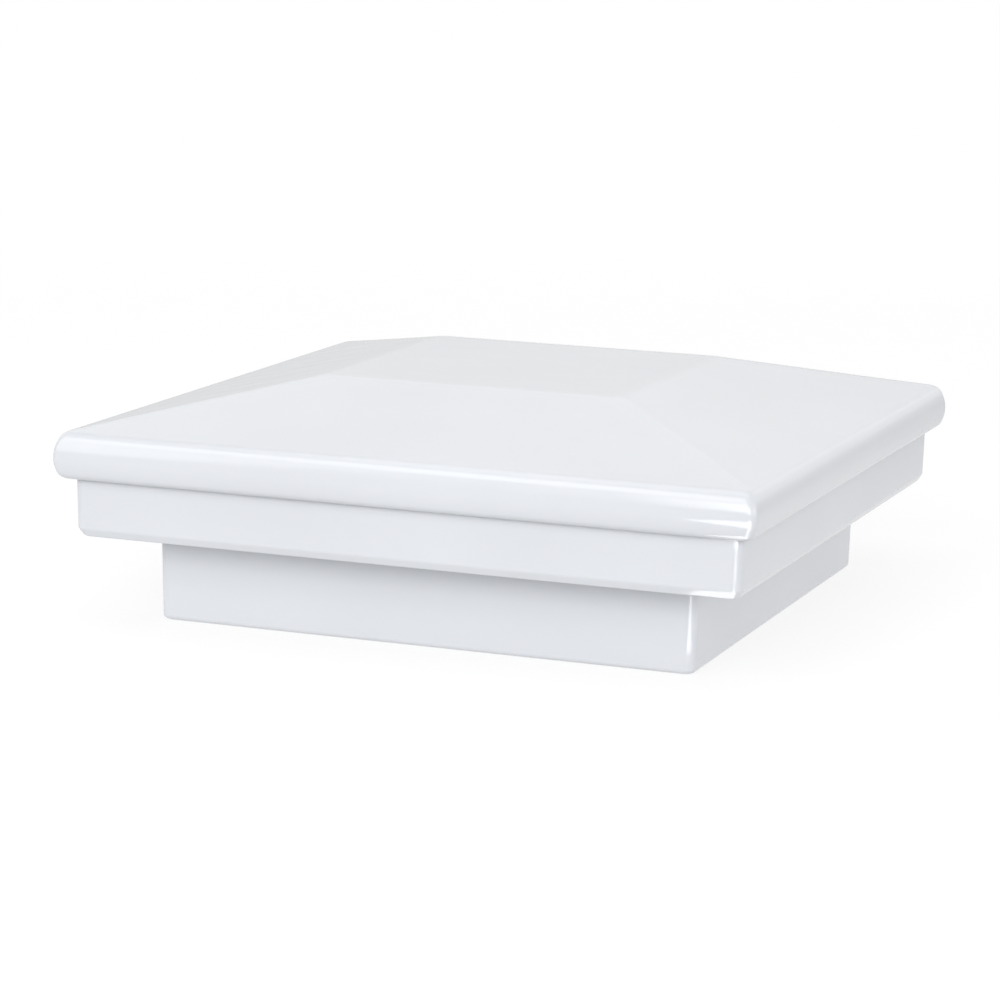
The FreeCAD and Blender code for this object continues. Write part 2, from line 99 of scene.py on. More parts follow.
# Places worked out from those.
FLANGE_TOP = collar_high.z
FLANGE_BASE = FLANGE_TOP - FLANGE_THICKNESS
FLOOR_TOP = band_low.z + BAND_FLOOR
BAND_INSIDE = band_high.x - BAND_WALL
SKIRT_INSIDE = SKIRT_HALF - SKIRT_WALL
CEILING = crown_high.z - SHELL
CAVITY_EAVE = CEILING - (SKIRT_INSIDE - PLATEAU_HALF) * math.tan(HIP_SLOPE)
SCREW_OFFSET = screws_high.x - HEAD_RADIUS
SCREW_TIP = screws_low.z

# The angle that turns the right side, +X, onto each side.
SIDES = {"right": 0, "back": 90, "left": 180, "front": -90}

# How finely the surfaces are divided.
SIDE_STEPS = 44
CORNER_STEPS = 6
RUN_STEP = 3.0 * MM
BEND_STEP = math.radians(18)

# Lengths that count as nothing: on the axis, at one level, and between joined vertices.
ON_AXIS = 0.001 * MM
SAME_LEVEL = 0.01 * MM
WELD = 0.004 * MM

# How deep the unevenness of moulded faces goes, and how far a shape that cuts or joins
# another reaches past its surface.
UNEVENNESS = 0.03 * MM
OVERLAP = 1.0 * MM

# A corner of a profile: its distance from the axis, its height, the radius of its bend in
# the profile, and the radius of the square's corners in plan there.
Corner = namedtuple("Corner", "half height bend plan")


# ---------------------------------------------------------------- mesh tools

def arc_points(centre, radius, start, end, steps, plan):
    """Points on an arc of a profile, from one angle above level to another."""
    points = []
    for step in range(steps + 1):
        angle = start + (end - start) * step / steps
        half = centre.x + radius * math.cos(angle)
        height = centre.y + radius * math.sin(angle)
        points.append(Corner(half, height, 0, plan))
    return points


def bend_points(before, corner, after):
    """Replace one corner of a profile by an arc that touches the runs on both sides."""
    here = Vector((corner.half, corner.height))
    back = (Vector((before.half, before.height)) - here).normalized()
    onward = (Vector((after.half, after.height)) - here).normalized()
    turn = math.pi - back.angle(onward)
    reach = corner.bend * math.tan(turn / 2)
    centre = here + (back + onward).normalized() * (corner.bend / math.cos(turn / 2))
    first = here + back * reach - centre
    last = here + onward * reach - centre
    start = math.atan2(first.y, first.x)
    sweep = (math.atan2(last.y, last.x) - start + math.pi) % (2 * math.pi) - math.pi
    steps = max(2, math.ceil(turn / BEND_STEP))
    return arc_points(centre, corner.bend, start, start + sweep, steps, corner.plan)


def run_points(start, end, longest):
    """Divide the straight run between two points of a profile."""
    length = math.hypot(end.half - start.half, end.height - start.height)
    count = max(1, math.ceil(length / longest))
    points = []
    for step in range(1, count):
        share = step / count
        half = start.half + (end.half - start.half) * share
        height = start.height + (end.height - start.height) * share
        plan = start.plan + (end.plan - start.plan) * share
        points.append(Corner(half, height, 0, plan))
    return points


def profile_points(corners, closed, longest=RUN_STEP):
    """Turn the corners of a profile into points, with its bends rounded and long runs divided."""
    stations = []
    for index, corner in enumerate(corners):
        if corner.bend:
            after = corners[(index + 1) % len(corners)]
            stations.append(bend_points(corners[index - 1], corner, after))
        else:
            stations.append([corner])
    following = stations[1:] + (stations[:1] if closed else [])
    points = []
    for here, there in zip(stations, following):
        points += here + run_points(here[-1], there[0], longest)
    return points if closed else points + stations[-1]


def square_ring(bm, point, side_steps):
    """A level ring of vertices round a square with rounded corners, or one vertex on the axis."""
    if point.half < ON_AXIS:
        return [bm.verts.new((0, 0, point.height))]
    # near the axis the corners shrink with the ring
    plan = min(point.plan, 0.5 * point.half)
    straight = point.half - plan
    ring = []
    for quarter in range(4):
        turn = Matrix.Rotation(quarter * math.pi / 2, 3, "Z")
        for step in range(side_steps):
            along = straight * (2 * step / side_steps - 1)
            ring.append(bm.verts.new(turn @ Vector((point.half, along, point.height))))
        for step in range(CORNER_STEPS):
            angle = step / CORNER_STEPS * math.pi / 2
            out = straight + plan * math.cos(angle)
            along = straight + plan * math.sin(angle)
            ring.append(bm.verts.new(turn @ Vector((out, along, point.height))))
    return ring


def round_ring(bm, point, segments):
    """A level circle of vertices, or one vertex on the axis."""
    if point.half < ON_AXIS:
        return [bm.verts.new((0, 0, point.height))]
    ring = []
    for step in range(segments):
        angle = 2 * math.pi * step / segments
        x = point.half * math.cos(angle)
        y = point.half * math.sin(angle)
        ring.append(bm.verts.new((x, y, point.height)))
    return ring


def skin(bm, rings, closed):
    """Join rings of vertices with quads, and with triangles where a ring is one vertex."""
    pairs = list(zip(rings, rings[1:]))
    if closed:
        pairs.append((rings[-1], rings[0]))
    for here, there in pairs:
        count = max(len(here), len(there))
        for index in range(count):
            following = (index + 1) % count
            face = []
            for ring, order in ((here, (index, following)), (there, (following, index))):
                face += [ring[0]] if len(ring) == 1 else [ring[place] for place in order]
            bm.faces.new(face)


def square_loft(corners, closed, side_steps=SIDE_STEPS, longest=RUN_STEP):
    """Sweep a profile of half-widths and heights round the square plan of the cap."""
    bm = bmesh.new()
    points = profile_points(corners, closed, longest)
    skin(bm, [square_ring(bm, point, side_steps) for point in points], closed)
    bmesh.ops.recalc_face_normals(bm, faces=bm.faces)
    return bm


def lathe(bm, corners, spot, segments=40):
    """Add a turned solid. Its profile starts and ends on the upright axis through the spot."""
    before = set(bm.verts)
    points = profile_points(corners, closed=False)
    skin(bm, [round_ring(bm, point, segments) for point in points], closed=False)
    new = [vertex for vertex in bm.verts if vertex not in before]
    bmesh.ops.translate(bm, vec=(spot.x, spot.y, 0), verts=new)


def drill(bm, radius, low, high, spot):
    """Add the plain cylinder that cuts a round hole between two levels."""
    lathe(bm, [Corner(0, low, 0, 0), Corner(radius, low, 0, 0), Corner(radius, high, 0, 0),
               Corner(0, high, 0, 0)], spot)


def block(bm, low, high):
    """Add a box between two opposite corners."""
    middle = (Vector(low) + Vector(high)) / 2
    size = Vector(high) - Vector(low)
    made = bmesh.ops.create_cube(bm, size=1)["verts"]
    bmesh.ops.scale(bm, vec=size, verts=made)
    bmesh.ops.translate(bm, vec=middle, verts=made)
    return made


def cross_outline(reach, thin):
    """A plus shape, counter-clockwise, whose arms end at reach and are twice thin wide."""
    outline = []
    arm = [(reach, -thin), (reach, thin), (thin, thin)]
    for _ in range(4):
        outline += arm
        arm = [(-y, x) for x, y in arm]
    return outline


def edge_drop(inward, radius):
    """How far a rounded edge has fallen away at this distance in from its end."""
    if inward >= radius:
        return 0.0
    return radius - math.sqrt(radius ** 2 - (radius - inward) ** 2)


def ripple(bm, depth, wavelength, seed):
    """Press the faces in by a smooth, irregular amount, as moulded and foamed surfaces are."""
    bm.normal_update()
    shifts = []
    for vertex in bm.verts:
        level = noise.noise(vertex.co / wavelength + Vector((seed, 0.0, 0.0)))
        shifts.append(vertex.normal * (-depth * (0.5 + 0.5 * level)))
    for vertex, shift in zip(bm.verts, shifts):
        vertex.co += shift


def finish_mesh(bm, name):
    """Turn working geometry into an object at the origin."""
    bmesh.ops.recalc_face_normals(bm, faces=bm.faces)
    mesh = bpy.data.meshes.new(name)
    bm.to_mesh(mesh)
    bm.free()
    piece = bpy.data.objects.new(name, mesh)
    bpy.context.scene.collection.objects.link(piece)
    return piece


def carve(piece, bm, operation):
    """Cut working geometry out of a piece, or grow it onto the piece, and keep plain mesh."""
    tool = finish_mesh(bm, "tool")
    modifier = piece.modifiers.new("carve", "BOOLEAN")
    modifier.operation = operation
    modifier.solver = "EXACT"
    modifier.object = tool
    bpy.context.view_layer.update()
    graph = bpy.context.evaluated_depsgraph_get()
    mesh = bpy.data.meshes.new_from_object(piece.evaluated_get(graph))
    weld(mesh, WELD)
    piece.modifiers.clear()
    old = piece.data
    piece.data = mesh
    bpy.data.meshes.remove(old)
    bpy.data.objects.remove(tool)


def weld(mesh, reach):
    """Join vertices closer than this, so that no slivers stay where surfaces were cut."""
    bm = bmesh.new()
    bm.from_mesh(mesh)
    bmesh.ops.remove_doubles(bm, verts=bm.verts, dist=reach)
    bmesh.ops.dissolve_degenerate(bm, edges=bm.edges, dist=reach)
    bm.to_mesh(mesh)
    bm.free()


def smooth(piece, sharp_angle=40):
    """Shade smoothly across the rounded edges, and keep wide faces flat between them."""
    piece.data.polygons.foreach_set("use_smooth", [True] * len(piece.data.polygons))
    piece.data.set_sharp_from_angle(angle=math.radians(sharp_angle))
    weights = piece.modifiers.new("flat faces", "WEIGHTED_NORMAL")
    weights.keep_sharp = True


def turned(degrees):
    """A turn about the cap's upright axis."""
    return Matrix.Rotation(math.radians(degrees), 4, "Z")


def screw_places():
    """Where the screws stand: one at the middle of each side and one at each corner."""
    for side, angle in SIDES.items():
        for place, sideways in (("middle", 0), ("corner", 1)):
            spot = turned(angle) @ Vector((SCREW_OFFSET, sideways * SCREW_OFFSET, 0))
            yield f"{side}_{place}", spot


# ------------------------------------------------------------------- pieces

def rim_points(plan):
    """The rim's side view from the slope down: rounded upper edge, barrel face, lower edge."""
    hub = Vector((crown_high.x - RIM_BARREL, RIM_EQUATOR))
    to_slope = ((hub.x - PLATEAU_HALF) * math.sin(HIP_SLOPE)
                + (hub.y - crown_high.z) * math.cos(HIP_SLOPE))
    # the arcs of both edges lie inside the barrel's circle and touch it at these angles
    high = math.asin((-UPPER_EDGE - to_slope) / (RIM_BARREL - UPPER_EDGE)) - HIP_SLOPE
    low = math.asin((RIM_BASE + LOWER_EDGE - hub.y) / (RIM_BARREL - LOWER_EDGE))
    upper = hub + (RIM_BARREL - UPPER_EDGE) * Vector((math.cos(high), math.sin(high)))
    lower = hub + (RIM_BARREL - LOWER_EDGE) * Vector((math.cos(low), math.sin(low)))
    quarter = math.pi / 2
    points = arc_points(upper, UPPER_EDGE, quarter - HIP_SLOPE, high, 6, plan)
    points += arc_points(hub, RIM_BARREL, high, low, 12, plan)[1:]
    points += arc_points(lower, LOWER_EDGE, low, -quarter, 7, plan)[1:]
    return points


def make_crown():
    """The top moulding: hipped roof, barrel rim, gasket channel, skirt and ribbed cavity."""
    soft_hip = 3.4 * MM
    hip_run_in = 12.0 * MM
    plateau_bend = 15 * MM
    ceiling_bend = 8 * MM
    eave_bend = 1.5 * MM
    skirt_bend = 0.5 * MM
    crisp = 0.3 * MM
    rim_corner = 1.9 * MM
    channel_corner = 1.5 * MM
    skirt_corner = 1.6 * MM
    cavity_corner = 1.2 * MM
    rim = rim_points(rim_corner)
    shoulder = rim[0]
    settled = shoulder.height + hip_run_in * math.tan(HIP_SLOPE)
    corners = [Corner(0, crown_high.z, 0, soft_hip),
               Corner(PLATEAU_HALF, crown_high.z, plateau_bend, soft_hip),
               Corner(shoulder.half - hip_run_in, settled, 0, soft_hip)]
    corners += rim
    corners += [Corner(CHANNEL_HALF, RIM_BASE, crisp, channel_corner),
                Corner(CHANNEL_HALF, gasket_high.z, crisp, channel_corner),
                Corner(SKIRT_HALF, gasket_high.z, crisp, skirt_corner),
                Corner(SKIRT_HALF, crown_low.z, skirt_bend, skirt_corner),
                Corner(SKIRT_INSIDE, crown_low.z, skirt_bend, cavity_corner),
                Corner(SKIRT_INSIDE, CAVITY_EAVE, eave_bend, cavity_corner),
                Corner(PLATEAU_HALF, CEILING, ceiling_bend, soft_hip),
                Corner(0, CEILING, 0, soft_hip)]
    bm = square_loft(corners, closed=False)
    ripple(bm, UNEVENNESS, 26 * MM, seed=3.7)
    crown = finish_mesh(bm, "crown_shell")
    for turn in (0, 90):
        carve(crown, crown_rib(turn), "UNION")
    return crown


def crown_rib(degrees):
    """A rib under the roof: level at its foot, with its upper edge grown into the shell."""
    end = SKIRT_INSIDE + SKIRT_WALL / 2
    eave = CAVITY_EAVE + SHELL / 2
    roof = CEILING + SHELL / 2
    outline = [(-end, CROWN_RIB_FOOT), (end, CROWN_RIB_FOOT), (end, eave),
               (PLATEAU_HALF, roof), (-PLATEAU_HALF, roof), (-end, eave)]
    bm = bmesh.new()
    near = [bm.verts.new((across, -RIB_THICKNESS / 2, up)) for across, up in outline]
    face = bm.faces.new(near)
    far = bmesh.ops.extrude_face_region(bm, geom=[face])["geom"]
    moved = [item for item in far if isinstance(item, bmesh.types.BMVert)]
    bmesh.ops.translate(bm, vec=(0, RIB_THICKNESS, 0), verts=moved)
    foot = [edge for edge in bm.edges
            if all(abs(vertex.co.z - CROWN_RIB_FOOT) < SAME_LEVEL for vertex in edge.verts)
            and abs(edge.verts[0].co.y - edge.verts[1].co.y) < SAME_LEVEL]
    bmesh.ops.bevel(bm, geom=foot, offset=0.5 * MM, segments=3, profile=0.5, affect="EDGES")
    bmesh.ops.rotate(bm, matrix=turned(degrees).to_3x3(), cent=(0, 0, 0), verts=bm.verts)
    return bm


def make_middle_band():
    """The tray-shaped middle tier, with its eight screw bosses."""
    lip_height = 1.9 * MM
    lip_tuck = 1.1 * MM
    lip_top = band_low.z + lip_height
    lip_half = band_high.x - (band_high.z - lip_top) * math.tan(DRAFT)
    crisp = 0.3 * MM
    outside = 2.2 * MM
    inside = 1.2 * MM
    opening = 2.0 * MM
    corners = [Corner(band_high.x, band_high.z, crisp, outside),
               Corner(lip_half, lip_top, 1.6 * MM, outside),
               Corner(lip_half - lip_tuck, band_low.z, 0.7 * MM, outside),
               Corner(OPENING_HALF, band_low.z, crisp, opening),
               Corner(OPENING_HALF, FLOOR_TOP, crisp, opening),
               Corner(BAND_INSIDE, FLOOR_TOP, 0.6 * MM, inside),
               Corner(BAND_INSIDE, band_high.z, crisp, inside)]
    bm = square_loft(corners, closed=True, longest=2 * MM)
    ripple(bm, UNEVENNESS, 24 * MM, seed=11.2)
    band = finish_mesh(bm, "middle_band_tray")
    bosses = bmesh.new()
    pilots = bmesh.new()
    for _, spot in screw_places():
        add_boss(bosses, spot)
        add_pilot(pilots, spot)
    carve(band, bosses, "UNION")
    carve(band, pilots, "DIFFERENCE")
    return band


def add_boss(bm, spot):
    """A boss that stands on the tray's floor and flares out where it meets the floor."""
    flare = 0.8 * MM
    flare_level = FLOOR_TOP - 0.15 * MM
    root = FLOOR_TOP - OVERLAP
    lathe(bm, [Corner(0, root, 0, 0),
               Corner(BOSS_RADIUS + flare, root, 0, 0),
               Corner(BOSS_RADIUS + flare, flare_level, 0, 0),
               Corner(BOSS_RADIUS, flare_level, 0.75 * MM, 0),
               Corner(BOSS_RADIUS, FLANGE_BASE, 0.3 * MM, 0),
               Corner(0, FLANGE_BASE, 0, 0)], spot)


def add_pilot(bm, spot):
    """The hole that a screw forms its thread in, with a countersunk mouth."""
    mouth_depth = 0.3 * MM
    mouth_flare = 0.4 * MM
    above = 0.1 * MM
    lathe(bm, [Corner(0, FLANGE_BASE - PILOT_DEPTH, 0, 0),
               Corner(PILOT_RADIUS, FLANGE_BASE - PILOT_DEPTH, 0.5 * MM, 0),
               Corner(PILOT_RADIUS, FLANGE_BASE - mouth_depth, 0, 0),
               Corner(PILOT_RADIUS + mouth_flare, FLANGE_BASE + above, 0, 0),
               Corner(0, FLANGE_BASE + above, 0, 0)], spot)


def make_post_collar():
    """The socket that slips over the post, its seat web and the flange it hangs from."""
    outside = 2.0 * MM
    bore = 0.8 * MM
    crisp = 0.3 * MM
    foot_bend = 1.3 * MM
    lead_in_bend = 0.1 * MM
    foot_half = COLLAR_HALF - (band_low.z - collar_low.z) * math.tan(DRAFT)
    neck_half = COLLAR_HALF + (FLANGE_BASE - band_low.z) * math.tan(DRAFT)
    corners = [Corner(0, SEAT_WEB, 0, bore),
               Corner(BORE_HALF, SEAT_WEB, 0.6 * MM, bore),
               Corner(BORE_HALF, FLANGE_TOP, crisp, bore),
               Corner(collar_high.x, FLANGE_TOP, crisp, outside),
               Corner(collar_high.x, FLANGE_BASE, crisp, outside),
               Corner(neck_half, FLANGE_BASE, crisp, outside),
               Corner(foot_half, collar_low.z, foot_bend, outside),
               Corner(BORE_HALF + LEAD_IN, collar_low.z, lead_in_bend, bore),
               Corner(BORE_HALF, collar_low.z + LEAD_IN, lead_in_bend, bore),
               Corner(BORE_HALF, 0, 0.4 * MM, bore),
               Corner(0, 0, 0, bore)]
    bm = square_loft(corners, closed=False)
    ripple(bm, UNEVENNESS, 24 * MM, seed=23.9)
    collar = finish_mesh(bm, "post_collar_socket")
    carve(collar, seat_ribs(), "UNION")
    carve(collar, pad_pockets(), "DIFFERENCE")
    carve(collar, clip_pockets(), "DIFFERENCE")
    holes = bmesh.new()
    for _, spot in screw_places():
        drill(holes, CLEARANCE_RADIUS, FLANGE_BASE - OVERLAP, FLANGE_TOP + OVERLAP, spot)
    carve(collar, holes, "DIFFERENCE")
    return collar


def seat_ribs():
    """Two crossed ribs that stiffen the seat web, with rounded tops."""
    bm = bmesh.new()
    low = SEAT_WEB - OVERLAP
    high = SEAT_WEB + SEAT_RIB_HEIGHT
    outline = cross_outline(BORE_HALF + OVERLAP, RIB_THICKNESS / 2)
    face = bm.faces.new([bm.verts.new((x, y, low)) for x, y in outline])
    made = bmesh.ops.extrude_face_region(bm, geom=[face])["geom"]
    top = [item for item in made if isinstance(item, bmesh.types.BMVert)]
    bmesh.ops.translate(bm, vec=(0, 0, high - low), verts=top)
    rims = [edge for edge in bm.edges
            if all(vertex.co.z > high - SAME_LEVEL for vertex in edge.verts)]
    bmesh.ops.bevel(bm, geom=rims, offset=0.4 * MM, segments=3, profile=0.5, affect="EDGES")
    return bm


def pad_pockets():
    """The shallow seats of the four grip pads in the walls of the bore."""
    bm = bmesh.new()
    low = Vector((BORE_HALF - 2 * OVERLAP, pad_low.y - FIT_GAP, pad_low.z - FIT_GAP))
    high = Vector((BORE_HALF + PAD_POCKET, pad_high.y + FIT_GAP, pad_high.z + FIT_GAP))
    for angle in SIDES.values():
        made = block(bm, low, high)
        bmesh.ops.rotate(bm, matrix=turned(angle).to_3x3(), cent=(0, 0, 0), verts=made)
    return bm


def clip_pockets():
    """The seats of the four clips in the top of the flange, open at the flange's edge."""
    bm = bmesh.new()
    gap = 2 * FIT_GAP
    low = Vector((clip_low.x - gap, clip_low.y - gap, FLANGE_TOP - STRIP))
    high = Vector((clip_high.x + OVERLAP, clip_high.y + gap, FLANGE_TOP + OVERLAP))
    for angle in SIDES.values():
        made = block(bm, low, high)
        bmesh.ops.rotate(bm, matrix=turned(angle).to_3x3(), cent=(0, 0, 0), verts=made)
    return bm


def make_gasket():
    """The foam ring in the crown's channel, slightly uneven like cut foam."""
    soft = 0.5 * MM
    outside = 1.7 * MM
    inside = 1.4 * MM
    corners = [Corner(gasket_high.x, gasket_high.z, soft, outside),
               Corner(gasket_high.x, gasket_low.z, soft, outside),
               Corner(SKIRT_HALF + FIT_GAP, gasket_low.z, soft, inside),
               Corner(SKIRT_HALF + FIT_GAP, gasket_high.z, soft, inside)]
    bm = square_loft(corners, closed=True, side_steps=150, longest=0.7 * MM)
    ripple(bm, 0.12 * MM, 2.2 * MM, seed=5.1)
    ripple(bm, 0.05 * MM, 0.8 * MM, seed=9.4)
    return finish_mesh(bm, "crown_gasket_foam")


def gripping_depth(along, up):
    """How far out the pad's gripping face lies: rounded border, two grooves, fine cross ribs."""
    groove_depth = 0.3 * MM
    rib_pitch = 1.2 * MM
    rib_depth = 0.08 * MM
    inward = min(along - pad_low.y, pad_high.y - along, up - pad_low.z, pad_high.z - up)
    middle = (pad_low.z + pad_high.z) / 2
    sixth = (pad_high.z - pad_low.z) / 6
    groove = 0.0
    for level in (middle - sixth, middle + sixth):
        away = abs(up - level) / (PAD_GROOVE / 2)
        if away < 1:
            groove = groove_depth * math.sqrt(1 - away ** 2)
    rib = rib_depth / 2 * (1 - math.cos(2 * math.pi * along / rib_pitch))
    return pad_low.x + edge_drop(inward, 0.3 * MM) + groove + rib


def pad_sheet(bm, depth_at):
    """An upright sheet as long and high as a pad. Returns its border, in order round it."""
    length_steps = 132
    height_steps = 46
    rows = []
    for row in range(height_steps + 1):
        up = pad_low.z + (pad_high.z - pad_low.z) * row / height_steps
        line = []
        for column in range(length_steps + 1):
            along = pad_low.y + (pad_high.y - pad_low.y) * column / length_steps
            line.append(bm.verts.new((depth_at(along, up), along, up)))
        rows.append(line)
    for lower, upper in zip(rows, rows[1:]):
        for column in range(length_steps):
            bm.faces.new((lower[column], lower[column + 1], upper[column + 1], upper[column]))
    border = rows[0] + [row[-1] for row in rows[1:]]
    border += rows[-1][-2::-1] + [row[0] for row in rows[-2:0:-1]]
    return border


def make_grip_pad(side):
    """A rubber pad with a grooved face that grips the post and a flat back."""
    bm = bmesh.new()
    front = pad_sheet(bm, gripping_depth)
    back = pad_sheet(bm, lambda along, up: pad_high.x)
    for index, corner in enumerate(front):
        following = (index + 1) % len(front)
        bm.faces.new((corner, front[following], back[following], back[index]))
    bmesh.ops.rotate(bm, matrix=turned(SIDES[side]).to_3x3(), cent=(0, 0, 0), verts=bm.verts)
    return finish_mesh(bm, f"grip_pad_rubber_{side}")


def clip_path():
    """The middle of the clip's strip, seen from the side: the foot, a bend and the bowed leg."""
    seat = clip_low.z + STRIP / 2
    bow = clip_high.x - STRIP / 2
    leg = bow - CLIP_BOW
    corners = [Corner(clip_low.x, seat, 0, 0),
               Corner(leg, seat, 0.9 * MM, 0),
               Corner(bow, CLIP_BOW_LEVEL, 6.0 * MM, 0),
               Corner(leg, clip_high.z, 0, 0)]
    return profile_points(corners, closed=False, longest=0.5 * MM)


def distances(path):
    """How far along a path each of its points lies."""
    travelled = [0.0]
    for here, there in zip(path, path[1:]):
        gap = math.hypot(there.half - here.half, there.height - here.height)
        travelled.append(travelled[-1] + gap)
    return travelled


def bend_strip(bm, path):
    """Lead a flat strip with rounded ends along a path."""
    width_steps = 16
    travelled = distances(path)
    rings = []
    for index, point in enumerate(path):
        before = path[max(index - 1, 0)]
        after = path[min(index + 1, len(path) - 1)]
        run = Vector((after.half - before.half, 0, after.height - before.height)).normalized()
        across = Vector((run.z, 0, -run.x)) * (STRIP / 2)
        end = min(travelled[index], travelled[-1] - travelled[index])
        width = clip_high.y - edge_drop(end, 1.5 * MM)
        spots = [width * (2 * step / width_steps - 1) for step in range(width_steps + 1)]
        middle = Vector((point.half, 0, point.height))
        ring = [bm.verts.new(middle + across + Vector((0, y, 0))) for y in spots]
        ring += [bm.verts.new(middle - across + Vector((0, y, 0))) for y in reversed(spots)]
        rings.append(ring)
    skin(bm, rings, closed=False)
    for ring in (rings[0], rings[-1]):
        for step in range(width_steps):
            bm.faces.new((ring[step], ring[step + 1], ring[-2 - step], ring[-1 - step]))


def make_clip(side):
    """A bent spring strip: its foot lies in the flange, its bowed leg bears on the skirt."""
    bm = bmesh.new()
    bend_strip(bm, clip_path())
    clip = finish_mesh(bm, f"crown_clip_spring_{side}")
    hole = bmesh.new()
    drill(hole, CLEARANCE_RADIUS, clip_low.z - OVERLAP, FLANGE_TOP + OVERLAP,
          Vector((SCREW_OFFSET, 0, 0)))
    carve(clip, hole, "DIFFERENCE")
    # the rolled edges below need longer facets than the cut leaves
    weld(clip.data, 0.06 * MM)
    clip.matrix_world = turned(SIDES[side])
    edges = clip.modifiers.new("rolled edges", "BEVEL")
    edges.width = 0.07 * MM
    edges.segments = 2
    edges.limit_method = "ANGLE"
    edges.angle_limit = math.radians(50)
    return clip


def thread_radius(angle, height, tip):
    """The radius of the screw's shank: a core with one helical ridge that fades at both ends."""
    ridge_share = 0.3
    cone_length = 1.6 * MM
    fade_length = 1.0 * MM
    turns = height / THREAD_PITCH + angle / (2 * math.pi)
    ridge = max(0.0, 1 - abs(turns % 1.0 - 0.5) / ridge_share)
    above_tip = height - tip
    cone = min(1.0, above_tip / cone_length)
    fade = min(1.0, above_tip / fade_length, max(0.0, -height) / fade_length)
    return CORE_RADIUS * cone + (THREAD_RADIUS - CORE_RADIUS) * ridge * fade


def make_screw_mesh():
    """A pan-head screw for plastic with a cross recess. The underside of its head is at z = 0."""
    segments = 48
    shank_steps = 84
    head_height = screws_high.z - FLANGE_TOP
    tip = SCREW_TIP - FLANGE_TOP
    bm = bmesh.new()
    head = profile_points([Corner(0, head_height, 0, 0),
                           Corner(0.72 * HEAD_RADIUS, head_height, 1.6 * MM, 0),
                           Corner(HEAD_RADIUS, 0.42 * head_height, 0.7 * MM, 0),
                           Corner(HEAD_RADIUS, 0, 0.15 * MM, 0),
                           Corner(CORE_RADIUS, 0, 0, 0)], closed=False, longest=0.5 * MM)
    rings = [round_ring(bm, point, segments) for point in head]
    for step in range(1, shank_steps):
        height = tip * step / shank_steps
        ring = []
        for place in range(segments):
            angle = 2 * math.pi * place / segments
            radius = thread_radius(angle, height, tip)
            x = radius * math.cos(angle)
            y = radius * math.sin(angle)
            ring.append(bm.verts.new((x, y, height)))
        rings.append(ring)
    rings.append([bm.verts.new((0, 0, tip))])
    skin(bm, rings, closed=False)
    screw = finish_mesh(bm, "screw")
    carve(screw, drive_recess(head_height), "DIFFERENCE")
    screw.data.transform(Matrix.Translation((0, 0, FLANGE_TOP)))
    return screw


def drive_recess(head_height):
    """A tapered cross, wide at the top of the head and narrow at the recess's floor."""
    bm = bmesh.new()
    mouth = (head_height + 0.2 * MM, 1.95 * MM, 0.46 * MM)
    floor = (head_height - 1.3 * MM, 1.15 * MM, 0.30 * MM)
    rings = []
    for level, reach, thin in (mouth, floor):
        outline = cross_outline(reach, thin)
        rings.append([bm.verts.new((x, y, level)) for x, y in outline])
    skin(bm, rings, closed=False)
    for ring in rings:
        bm.faces.new(ring)
    return bm


# ---------------------------------------------------------------- materials

